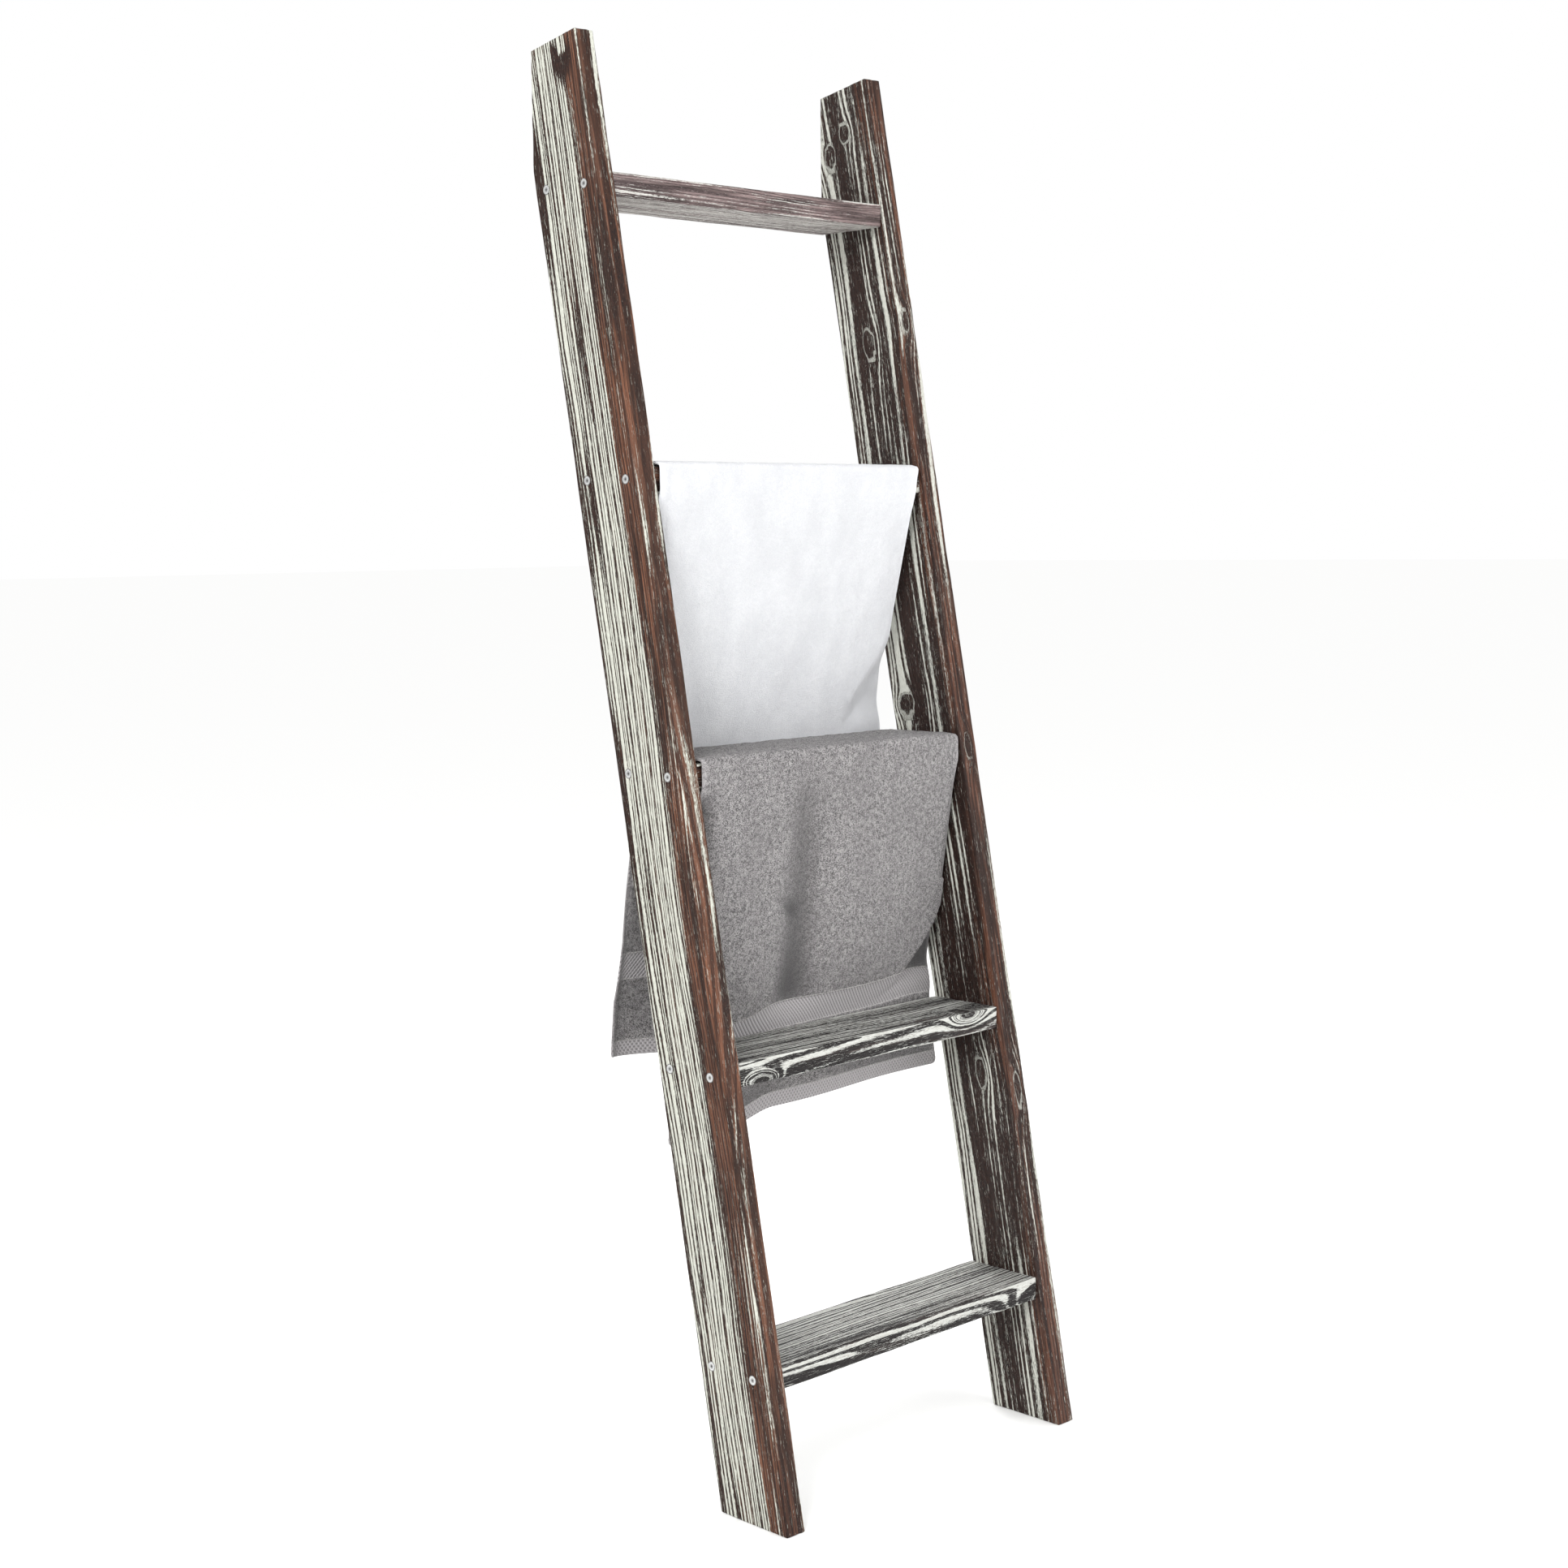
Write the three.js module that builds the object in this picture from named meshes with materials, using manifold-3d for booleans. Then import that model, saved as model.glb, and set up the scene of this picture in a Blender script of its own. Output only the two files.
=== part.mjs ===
// A ladder towel rack that leans on a wall, with two terry hand towels on it.
//
// Two plank rails carry five level plank rungs. Each rung is butted between the
// rails and held at each end by two countersunk screws, driven through the rail.
// The rails' feet are cut level, their tops are cut square, and a plumb cut
// behind each top lies flat on the wall. Each towel goes over one rung, and its
// front flap is tucked behind the rung below.
//
// Millimetres, +X to the right, +Y towards the wall, +Z up. The origin is on the
// floor, midway between the rails, and midway between their toes and the wall.

import * as THREE from 'three';
import { mergeVertices } from 'three/addons/utils/BufferGeometryUtils.js';
import Module from 'manifold-3d';

// ---------------------------------------------------------------- dimensions

// Every plank, rail or rung, is sawn from the same board.
const board = { width: 89, thickness: 24, arris: 2 };

const rack = {
	height: 1407, // floor to the rails' top front corners
	innerWidth: 372, // between the rails
	lean: THREE.MathUtils.degToRad( 10.6 ), // rails from plumb
	wallPad: 115, // length of the plumb cut that lies on the wall
};

const rungs = {
	count: 5,
	firstTop: 153, // floor to the top of the lowest rung
	topMargin: 134, // top of the highest rung to the top of the rails
	setback: 1.2, // rung's front edge behind the rails' front edges
};

const screw = {
	headRadius: 4.8,
	headRim: 0.4,
	shankRadius: 2.2,
	length: 50,
	tip: 7,
	sink: 0.2, // head below the rail's face
	frontEdge: 14.5, // screw to the rung's front edge
	backEdge: 18, // screw to the rung's back edge
	recess: { width: 1, length: 5, depth: 2 },
	segments: 16,
};

// drop is how far the back flap hangs below its rung's top, and tail how far the
// front flap hangs below the top of the rung that it is tucked behind.
const towels = {
	thickness: 5,
	flatWidth: 406,
	sideGap: 4.5, // between a towel's edge and the rail
	flareDrop: 40, // below a rung's top, where a flap starts to spread behind the rails
	grey: { rung: 3, drop: 295, tail: 83 },
	white: { rung: 4, drop: 135, tail: 230 },
};

const clearance = {
	joint: 0.3, // rung end to rail
	hole: 0.3, // screw to the wood all round
	cloth: 0.5, // towel to the wood, and towel to towel
};

// ------------------------------------------------------------ derived places

const slope = Math.tan( rack.lean );
const railDepth = board.width / Math.cos( rack.lean ); // level section through a rail

// The square top's back corner is cut back by the plumb cut.
const wallPlane = rack.height * slope + board.width * Math.cos( rack.lean )
	- rack.wallPad * Math.sin( rack.lean ) * Math.cos( rack.lean );
const padBottom = ( wallPlane - railDepth ) / slope;
const padTop = padBottom + rack.wallPad;

const halfInner = rack.innerWidth / 2;
const rungPitch = ( rack.height - rungs.topMargin - rungs.firstTop ) / ( rungs.count - 1 );

// Depths are worked out from the rails' toes, and the origin is midway to the wall.
const toOrigin = - wallPlane / 2;

// The level plank that is rung number n, counted from the floor.
function rungAt( n ) {

	const top = rungs.firstTop + ( n - 1 ) * rungPitch;
	const front = top * slope + rungs.setback;

	return { top, bottom: top - board.thickness, front, back: front + board.width };

}

// Where the screws of rung n are, as front and back depth and a height.
function screwsAt( n ) {

	const { front, back, top } = rungAt( n );

	return {
		height: top - board.thickness / 2,
		depths: { front: front + screw.frontEdge, back: back - screw.backEdge },
	};

}

// ------------------------------------------------------------ solid modelling

const wasm = await Module();
wasm.setup();

function toSolid( geometry ) {

	const bare = geometry.clone();
	bare.deleteAttribute( 'normal' );
	bare.deleteAttribute( 'uv' );
	const merged = mergeVertices( bare, 1e-4 );

	return new wasm.Manifold( new wasm.Mesh( {
		numProp: 3,
		vertProperties: new Float32Array( merged.attributes.position.array ),
		triVerts: new Uint32Array( merged.index.array ),
	} ) );

}

function toGeometry( solid ) {

	const { vertProperties, triVerts, numProp } = solid.getMesh();
	const positions = new Float32Array( triVerts.length * 3 );

	triVerts.forEach( ( vertex, i ) => {

		for ( let k = 0; k < 3; k ++ ) positions[ 3 * i + k ] = vertProperties[ vertex * numProp + k ];

	} );

	const geometry = new THREE.BufferGeometry();
	geometry.setAttribute( 'position', new THREE.BufferAttribute( positions, 3 ) );
	geometry.computeVertexNormals();

	return geometry;

}

// An outline of [depth, height] points, extruded along X from x0 to x1. An arris
// rounds the edges all round both end faces.
function extrudeAcross( shape, x0, x1, arris = 0 ) {

	const geometry = new THREE.ExtrudeGeometry( shape, {
		depth: x1 - x0 - 2 * arris,
		bevelEnabled: arris > 0,
		bevelThickness: arris,
		bevelSize: arris,
		bevelOffset: - arris,
		bevelSegments: 3,
		curveSegments: 4,
	} );
	geometry.translate( 0, 0, arris );
	geometry.applyMatrix4( new THREE.Matrix4().makeBasis(
		new THREE.Vector3( 0, 1, 0 ), new THREE.Vector3( 0, 0, 1 ), new THREE.Vector3( 1, 0, 0 ) ) );
	geometry.translate( x0, toOrigin, 0 );

	return geometry;

}

// A solid of revolution about X. The profile holds [radius, distance along X].
function turned( profile, segments ) {

	const geometry = new THREE.LatheGeometry(
		profile.map( ( [ radius, along ] ) => new THREE.Vector2( radius, along ) ), segments );
	geometry.rotateZ( - Math.PI / 2 );

	return geometry;

}

// ---------------------------------------------------------------------- screws

// Screws and their holes are turned profiles of [radius, distance into the wood
// from the head's face]. A hole is larger all round by the clearance, opens out
// through the wood's face, and ends in a drill point past the screw's tip.
function headTaper( grow ) {

	const { headRadius, headRim, shankRadius } = screw;

	return [
		[ headRadius + grow, headRim ],
		[ shankRadius + grow, headRim + headRadius - shankRadius ],
	];

}

function screwProfile() {

	return [
		[ 0, 0 ],
		[ screw.headRadius, 0 ],
		...headTaper( 0 ),
		[ screw.shankRadius, screw.length - screw.tip ],
		[ 0, screw.length ],
	];

}

function holeProfile() {

	const mouth = - board.arris;

	return [
		[ 0, mouth ],
		[ screw.headRadius + clearance.hole, mouth ],
		...headTaper( clearance.hole ),
		[ screw.shankRadius + clearance.hole, screw.length ],
		[ 0, screw.length + screw.shankRadius ],
	];

}

// The cross recess, as two crossed bars that taper as a driver's tip does.
function recessSolid() {

	const { width, length, depth } = screw.recess;
	const bar = new THREE.CylinderGeometry( length / 2, length / 5, 2 * depth, 4, 1 );
	bar.rotateY( Math.PI / 4 );
	bar.scale( Math.SQRT2 * width / length, 1, 1 );
	bar.rotateZ( Math.PI / 2 );
	const crossBar = bar.clone().rotateX( Math.PI / 2 );

	return toSolid( bar ).add( toSolid( crossBar ) );

}

const screwGeometry = toGeometry(
	toSolid( turned( screwProfile(), screw.segments ) ).subtract( recessSolid() ) );

// A screw's place: side is -1 for the left rail and 1 for the right.
function placeScrew( object, side, depth, height ) {

	const face = halfInner + board.thickness - screw.sink;
	object.position.set( side * face, depth + toOrigin, height );
	if ( side > 0 ) object.rotation.z = Math.PI;

	return object;

}

// All the screw holes on one side, to be cut from its rail and from the rung ends.
function screwHoles( side, numbers ) {

	const hole = turned( holeProfile(), screw.segments );
	const holes = [];

	for ( const n of numbers ) {

		const { height, depths } = screwsAt( n );

		for ( const depth of Object.values( depths ) ) {

			const place = placeScrew( new THREE.Object3D(), side, depth, height );
			place.updateMatrix();
			holes.push( toSolid( hole.clone().applyMatrix4( place.matrix ) ) );

		}

	}

	return holes.reduce( ( all, one ) => all.add( one ) );

}

// ------------------------------------------------------------------ rack frame

const allRungs = Array.from( { length: rungs.count }, ( _, i ) => i + 1 );

function railOutline() {

	return new THREE.Shape( [
		new THREE.Vector2( 0, 0 ),
		new THREE.Vector2( railDepth, 0 ),
		new THREE.Vector2( wallPlane, padBottom ),
		new THREE.Vector2( wallPlane, padTop ),
		new THREE.Vector2( rack.height * slope, rack.height ),
	] );

}

function railGeometry( side ) {

	const inner = side * halfInner;
	const outer = side * ( halfInner + board.thickness );
	const plank = extrudeAcross(
		railOutline(), Math.min( inner, outer ), Math.max( inner, outer ), board.arris );

	return toGeometry( toSolid( plank ).subtract( screwHoles( side, allRungs ) ) );

}

// A rectangle of depth and height with rounded corners.
function rungOutline( { front, back, bottom, top } ) {

	const r = board.arris;
	const shape = new THREE.Shape();
	shape.moveTo( front + r, bottom );
	shape.lineTo( back - r, bottom );
	shape.absarc( back - r, bottom + r, r, - Math.PI / 2, 0 );
	shape.lineTo( back, top - r );
	shape.absarc( back - r, top - r, r, 0, Math.PI / 2 );
	shape.lineTo( front + r, top );
	shape.absarc( front + r, top - r, r, Math.PI / 2, Math.PI );
	shape.lineTo( front, bottom + r );
	shape.absarc( front + r, bottom + r, r, Math.PI, 1.5 * Math.PI );

	return shape;

}

function rungGeometry( n ) {

	const end = halfInner - clearance.joint;
	const plank = extrudeAcross( rungOutline( rungAt( n ) ), - end, end );

	return toGeometry( toSolid( plank )
		.subtract( screwHoles( - 1, [ n ] ) )
		.subtract( screwHoles( 1, [ n ] ) ) );

}

// ---------------------------------------------------------------------- towels

const halfCloth = towels.thickness / 2;
const toWood = clearance.cloth + halfCloth; // the cloth's middle from what it lies on
const towelSpan = rack.innerWidth - 2 * towels.sideGap;

// The middle of the cloth, as [depth, height] points from the back flap's hem,
// over rung n and down in front of it, to the tail behind the rung below.
// extra is how much further out the tail lies, to clear cloth already there.
function drape( { rung: n, drop, tail }, extra ) {

	const over = rungAt( n );
	const below = rungAt( n - 1 );
	const bend = board.arris + toWood;
	const [ back, front, top ] = [ over.back + toWood, over.front - toWood, over.top + toWood ];
	const tuck = below.back + toWood + extra;
	const path = new THREE.Path();
	path.moveTo( back, over.top - drop );
	path.lineTo( back, top - bend );
	path.absarc( back - bend, top - bend, bend, 0, Math.PI / 2 );
	path.lineTo( front + bend, top );
	path.absarc( front + bend, top - bend, bend, Math.PI / 2, Math.PI );
	path.lineTo( front, over.bottom );
	path.lineTo( tuck, below.top + extra );
	path.lineTo( tuck, below.top - tail );

	return path.getPoints( 5 ).filter( ( p, i, all ) => i === 0 || p.distanceTo( all[ i - 1 ] ) > 1e-3 );

}

// A closed outline half a cloth's thickness to each side of an open line.
function ribbon( line ) {

	const sides = [ 1, - 1 ].map( ( side ) => line.map( ( point, i ) => {

		const before = line[ Math.max( i - 1, 0 ) ];
		const after = line[ Math.min( i + 1, line.length - 1 ) ];
		const along = after.clone().sub( before ).normalize();

		return new THREE.Vector2( - along.y, along.x ).multiplyScalar( side * halfCloth ).add( point );

	} ) );

	return new THREE.Shape( [ ...sides[ 0 ], ...sides[ 1 ].reverse() ] );

}

// The part of a hanging flap that spreads to the cloth's full width behind the
// rails: an upright sheet at one depth, wider at its hem.
function flare( depth, top, hem ) {

	const sheet = new THREE.ExtrudeGeometry( new THREE.Shape( [
		new THREE.Vector2( - towels.flatWidth / 2, hem ),
		new THREE.Vector2( towels.flatWidth / 2, hem ),
		new THREE.Vector2( towelSpan / 2, top ),
		new THREE.Vector2( - towelSpan / 2, top ),
	] ), { depth: towels.thickness, bevelEnabled: false } );
	sheet.rotateX( Math.PI / 2 );
	sheet.translate( 0, depth + halfCloth + toOrigin, 0 );

	return toSolid( sheet );

}

function towelGeometry( towel, extra = 0, flared = [] ) {

	const line = drape( towel, extra );
	const strip = toSolid( extrudeAcross( ribbon( line ), - towelSpan / 2, towelSpan / 2 ) );
	const hems = { back: line[ 0 ], tail: line[ line.length - 1 ] };
	const starts = { back: rungAt( towel.rung ), tail: rungAt( towel.rung - 1 ) };

	return toGeometry( flared.reduce( ( cloth, flap ) => cloth.add(
		flare( hems[ flap ].x, starts[ flap ].top - towels.flareDrop, hems[ flap ].y ) ), strip ) );

}

// ------------------------------------------------------------------- assembly

const finishes = {
	rail: { color: 0xb9b2a4, roughness: 0.75, metalness: 0 },
	rung: { color: 0xa99c8e, roughness: 0.75, metalness: 0 },
	screw: { color: 0xd8d8d2, roughness: 0.35, metalness: 0.9 },
	grey: { color: 0x8f8c8d, roughness: 0.95, metalness: 0 },
	white: { color: 0xeeeff4, roughness: 0.95, metalness: 0 },
};

const towelRack = new THREE.Group();

function addPart( name, geometry, finish ) {

	const mesh = new THREE.Mesh( geometry, new THREE.MeshStandardMaterial( finishes[ finish ] ) );
	mesh.name = name;
	towelRack.add( mesh );

	return mesh;

}

const sides = { left: - 1, right: 1 };

for ( const [ name, side ] of Object.entries( sides ) ) {

	addPart( `${ name }_rail`, railGeometry( side ), 'rail' );

}

for ( const n of allRungs ) addPart( `rung_${ n }`, rungGeometry( n ), 'rung' );

for ( const [ name, side ] of Object.entries( sides ) ) {

	for ( const n of allRungs ) {

		const { height, depths } = screwsAt( n );

		for ( const [ place, depth ] of Object.entries( depths ) ) {

			const mesh = addPart( `screw_${ name }_${ n }_${ place }`, screwGeometry, 'screw' );
			placeScrew( mesh, side, depth, height );

		}

	}

}

// The white towel's tail hangs behind the grey towel's back flap.
const behindGrey = towels.thickness + clearance.cloth;
addPart( 'grey_towel', towelGeometry( towels.grey, 0, [ 'back', 'tail' ] ), 'grey' );
addPart( 'white_towel', towelGeometry( towels.white, behindGrey ), 'white' );

export default towelRack;
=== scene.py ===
"""Looks for a leaning ladder towel rack: brushed and whitewashed planks, and two terry towels."""

import math

import bpy
import numpy as np
from mathutils import Matrix, Vector


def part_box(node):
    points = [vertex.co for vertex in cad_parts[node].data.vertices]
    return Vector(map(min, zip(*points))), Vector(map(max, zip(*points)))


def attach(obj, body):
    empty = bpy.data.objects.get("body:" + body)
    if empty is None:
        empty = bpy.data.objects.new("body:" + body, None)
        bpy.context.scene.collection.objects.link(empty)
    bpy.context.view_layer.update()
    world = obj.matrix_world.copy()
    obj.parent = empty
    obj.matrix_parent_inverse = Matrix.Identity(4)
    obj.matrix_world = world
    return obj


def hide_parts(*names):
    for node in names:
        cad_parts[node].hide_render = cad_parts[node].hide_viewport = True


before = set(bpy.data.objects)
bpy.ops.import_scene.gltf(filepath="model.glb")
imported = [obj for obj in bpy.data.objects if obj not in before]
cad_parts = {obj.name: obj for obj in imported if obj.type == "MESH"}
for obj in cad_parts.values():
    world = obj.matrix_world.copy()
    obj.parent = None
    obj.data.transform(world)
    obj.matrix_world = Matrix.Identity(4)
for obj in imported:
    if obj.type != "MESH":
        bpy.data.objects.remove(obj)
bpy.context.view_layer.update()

MM = 0.001

# --------------------------------------------------------------- sizes, from the frame

RUNG_COUNT = 5
rail_low, rail_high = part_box("left_rail")
rung_boxes = {n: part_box(f"rung_{n}") for n in range(1, RUNG_COUNT + 1)}
first_low, first_high = rung_boxes[1]
last_low, last_high = rung_boxes[RUNG_COUNT]

LEAN = math.atan2(last_low.y - first_low.y, last_high.z - first_high.z)
BOARD_WIDTH = first_high.y - first_low.y
BOARD_THICKNESS = first_high.z - first_low.z
HEIGHT = rail_high.z
TOE = rail_low.y
WALL = rail_high.y


# ------------------------------------------------------------------------ small tools


def smoothstep(low, high, x):
    """0 below low, 1 above high, and a smooth ramp between."""
    t = np.clip((x - low) / (high - low), 0, 1)
    return t * t * (3 - 2 * t)


def lattice(ix, iy, iz, seed):
    """A repeatable random number from 0 to 1 for each whole-number place."""
    h = (ix * 374761393 + iy * 668265263 + iz * 2147483647 + seed * 1274126177) & 0xFFFFFFFF
    h = ((h ^ (h >> 13)) * 1274126177) & 0xFFFFFFFF
    h = ((h ^ (h >> 16)) * 2246822519) & 0xFFFFFFFF
    return (h ^ (h >> 15)).astype(np.float64) / 0xFFFFFFFF


def noise(x, y=0.0, z=0.0, seed=0):
    """Smooth value noise from -1 to 1, with features about 1 apart."""
    x, y, z = np.broadcast_arrays(*(np.asarray(v, float) for v in (x, y, z)))
    fx, fy, fz = np.floor(x), np.floor(y), np.floor(z)
    tx, ty, tz = (t * t * (3 - 2 * t) for t in (x - fx, y - fy, z - fz))
    ix, iy, iz = (f.astype(np.int64) for f in (fx, fy, fz))
    total = 0.0
    for dx, wx in ((0, 1 - tx), (1, tx)):
        for dy, wy in ((0, 1 - ty), (1, ty)):
            for dz, wz in ((0, 1 - tz), (1, tz)):
                total = total + wx * wy * wz * lattice(ix + dx, iy + dy, iz + dz, seed)
    return 2 * total - 1


def add_mesh(name, points, quads, smooth=True):
    """A new object from an array of points in metres and an array of four-cornered faces."""
    mesh = bpy.data.meshes.new(name)
    mesh.vertices.add(len(points))
    mesh.vertices.foreach_set("co", np.asarray(points, np.float32).ravel())
    mesh.loops.add(quads.size)
    mesh.loops.foreach_set("vertex_index", quads.ravel().astype(np.int32))
    mesh.polygons.add(len(quads))
    mesh.polygons.foreach_set("loop_start", np.arange(0, quads.size, 4, dtype=np.int32))
    mesh.update(calc_edges=True)
    mesh.polygons.foreach_set("use_smooth", np.full(len(quads), smooth))
    mesh.validate()
    thing = bpy.data.objects.new(name, mesh)
    bpy.context.scene.collection.objects.link(thing)
    return thing


def set_attribute(thing, name, values):
    """Stores one number, or one vector, for each point of a mesh."""
    values = np.asarray(values, np.float32)
    kind = "FLOAT_VECTOR" if values.ndim == 2 else "FLOAT"
    layer = thing.data.attributes.new(name, kind, "POINT")
    layer.data.foreach_set("vector" if values.ndim == 2 else "value", values.ravel())


# ----------------------------------------------------------------------- shader tools


class Nodes:
    """Short ways to write a material's node tree."""

    def __init__(self, name):
        self.material = bpy.data.materials.new(name)
        self.material.use_nodes = True
        self.tree = self.material.node_tree
        self.tree.nodes.clear()
        self.shader = self.tree.nodes.new("ShaderNodeBsdfPrincipled")
        output = self.tree.nodes.new("ShaderNodeOutputMaterial")
        self.tree.links.new(self.shader.outputs["BSDF"], output.inputs["Surface"])

    def plug(self, socket, value):
        """Links a socket to another, or gives it a plain value."""
        if isinstance(value, bpy.types.NodeSocket):
            self.tree.links.new(value, socket)
        elif value is not None:
            socket.default_value = value

    def math(self, operation, a, b=None, c=None, clamp=False):
        node = self.tree.nodes.new("ShaderNodeMath")
        node.operation = operation
        node.use_clamp = clamp
        for socket, value in zip(node.inputs, (a, b, c)):
            self.plug(socket, value)
        return node.outputs[0]

    def add(self, *terms):
        total = terms[0]
        for term in terms[1:]:
            total = self.math("ADD", total, term)
        return total

    def scale(self, a, b):
        return self.math("MULTIPLY", a, b)

    def ramp(self, value, low, high, out_low=0.0, out_high=1.0):
        """A smooth ramp of a value, from out_low at low to out_high at high."""
        node = self.tree.nodes.new("ShaderNodeMapRange")
        node.interpolation_type = "SMOOTHSTEP"
        for socket, setting in zip(node.inputs, (value, low, high, out_low, out_high)):
            self.plug(socket, setting)
        return node.outputs[0]

    def attribute(self, name, output="Fac"):
        node = self.tree.nodes.new("ShaderNodeAttribute")
        node.attribute_name = name
        return node.outputs[output]

    def stretch(self, vector, factors, shift=(0, 0, 0)):
        """The vector, scaled by a factor along each axis and then shifted."""
        node = self.tree.nodes.new("ShaderNodeVectorMath")
        node.operation = "MULTIPLY_ADD"
        for socket, value in zip(node.inputs, (vector, factors, shift)):
            self.plug(socket, value)
        return node.outputs[0]

    def noise(self, vector, scale=1.0, detail=2.0, roughness=0.5):
        node = self.tree.nodes.new("ShaderNodeTexNoise")
        settings = {"Vector": vector, "Scale": scale, "Detail": detail, "Roughness": roughness}
        for name, value in settings.items():
            self.plug(node.inputs[name], value)
        return node.outputs["Fac"]

    def cells(self, vector, scale):
        """The distance to the nearest of many scattered points."""
        node = self.tree.nodes.new("ShaderNodeTexVoronoi")
        self.plug(node.inputs["Vector"], vector)
        self.plug(node.inputs["Scale"], scale)
        return node.outputs["Distance"]

    def mix(self, factor, a, b):
        """A colour between a, where the factor is 0, and b, where it is 1."""
        node = self.tree.nodes.new("ShaderNodeMix")
        node.data_type = "RGBA"
        self.plug(node.inputs["Factor"], factor)
        for name, value in (("A", a), ("B", b)):
            socket = [s for s in node.inputs if s.name == name and s.type == "RGBA"][0]
            self.plug(socket, (*value, 1.0) if isinstance(value, tuple) else value)
        return [s for s in node.outputs if s.type == "RGBA"][0]

    def bump(self, height, distance, strength):
        node = self.tree.nodes.new("ShaderNodeBump")
        for name, value in (("Height", height), ("Distance", distance), ("Strength", strength)):
            self.plug(node.inputs[name], value)
        return node.outputs[0]

    def finish(self, **sockets):
        """Plugs values into the shader by socket name, with _ for a space."""
        for name, value in sockets.items():
            self.plug(self.shader.inputs[name.replace("_", " ")], value)
        return self.material


# --------------------------------------------------------------------- camera, stage


CAMERA_PLACE = (-1.7041, -1.7088, 0.9264)
CAMERA_TURNS = (44.22, -5.90, -0.735)  # yaw to the right, pitch and roll, in degrees
CAMERA_LENS = 55.27  # mm, on a sensor 36 mm wide
FLOOR_HALF = 60.0


def place_camera():
    """A viewer to the left of the rack, about 2.4 m from its middle and 0.93 m up."""
    yaw, pitch, roll = (math.radians(turn) for turn in CAMERA_TURNS)
    forward = Vector((math.sin(yaw) * math.cos(pitch), math.cos(yaw) * math.cos(pitch), math.sin(pitch)))
    level = Vector((math.cos(yaw), -math.sin(yaw), 0))
    upright = level.cross(forward)
    right = level * math.cos(roll) + upright * math.sin(roll)
    up = upright * math.cos(roll) - level * math.sin(roll)
    data = bpy.data.cameras.new("camera")
    data.lens = CAMERA_LENS
    data.sensor_width = 36
    camera = bpy.data.objects.new("camera", data)
    turn = Matrix((right, up, -forward)).transposed().to_4x4()
    camera.matrix_world = Matrix.Translation(CAMERA_PLACE) @ turn
    bpy.context.scene.collection.objects.link(camera)
    bpy.context.scene.camera = camera


def floor_material():
    n = Nodes("pale_floor")
    return n.finish(Base_Color=(0.975, 0.975, 0.97, 1), Roughness=1.0, Specular_IOR_Level=0.0)


def place_floor():
    points = np.array([(-1, -1, 0), (1, -1, 0), (1, 1, 0), (-1, 1, 0)]) * FLOOR_HALF
    floor = add_mesh("floor", points, np.array([[0, 1, 2, 3]]), smooth=False)
    floor.data.materials.append(floor_material())


def add_area(name, place, aim, size, power):
    data = bpy.data.lights.new(name, "AREA")
    data.shape = "DISK"
    data.size = size
    data.energy = power
    lamp = bpy.data.objects.new(name, data)
    lamp.location = place
    lamp.rotation_euler = (Vector(aim) - Vector(place)).to_track_quat("-Z", "Y").to_euler()
    bpy.context.scene.collection.objects.link(lamp)


def place_lights():
    middle = (0, 0, HEIGHT / 2)
    add_area("key", (-2.7, -1.3, 2.3), middle, 1.2, 70)
    add_area("fill", (0.9, -3.0, 1.0), middle, 2.4, 48)
    add_area("back", (1.4, 2.4, 2.2), middle, 1.6, 40)
    world = bpy.data.worlds.new("studio")
    world.use_nodes = True
    background = world.node_tree.nodes["Background"]
    background.inputs["Color"].default_value = (1.0, 1.0, 1.0, 1)
    background.inputs["Strength"].default_value = 1.0
    bpy.context.scene.world = world
    bpy.context.scene.view_settings.view_transform = "Standard"


place_camera()
place_floor()
place_lights()


# ------------------------------------------------------------------------------ planks
#
# A plank has its own coordinates, in millimetres: a along the grain, b across its
# width from the front, and c through its thickness from its outer or top face. Its
# growth rings are circles round a pith line beside it, bent by slow noise and by its
# knots. Each point of the mesh carries its ring coordinate, so the relief made here
# and the colours in the material agree.

RING = 3.7  # usual distance between growth rings, mm
RING_SWELLS = ((1.35, 0.61, 0.4), (0.9, 0.283, 2.1), (0.5, 1.07, 4.4))  # size, rate, start
RELIEF = 0.4  # depth of the brushed grooves, mm
WIDTH, THICKNESS = BOARD_WIDTH / MM, BOARD_THICKNESS / MM
SINK = (5.1, 2.7)  # radius and depth of a screw's countersink, mm
GRID = (100, 26)  # faces across a plank's width and through its thickness
RAIL_ROWS = (7.2, 1.3)  # distance between rows of points, usual and where they crowd, mm
RUNG_ROWS = (2.6, 0.95)
ARRIS = 1.6  # usual radius of a plank's worn edges, mm
DEEPEST = (15, 40)  # where a knot that runs in from the front fades and ends, mm


def ridge(rings):
    """How high the grain stands, from 0 in a groove to 1 on a ridge."""
    phase = rings * (2 * math.pi / RING)
    for size, rate, start in RING_SWELLS:
        phase = phase + size * np.sin(rings * rate + start)
    return 0.5 + 0.5 * np.sin(phase)


class Knot:
    """A knot that runs through the thickness, axis "c", or in from the front, axis "b".

    Its bulge pushes the rings around it apart, and its stretch is along the grain.
    """

    def __init__(self, along, across, radius, bulge=0.0, axis="c", stretch=1.6):
        self.along, self.across, self.radius = along, across, radius
        self.bulge, self.axis, self.stretch = bulge, axis, stretch

    def offsets(self, a, b, c):
        side = (b if self.axis == "c" else c) - self.across
        run = (a - self.along) / self.stretch
        return side, np.hypot(run, side)

    def reach(self, b):
        """How strongly the knot shows at a depth behind the plank's front."""
        return 1.0 if self.axis == "c" else 1 - smoothstep(*DEEPEST, b)


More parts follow.
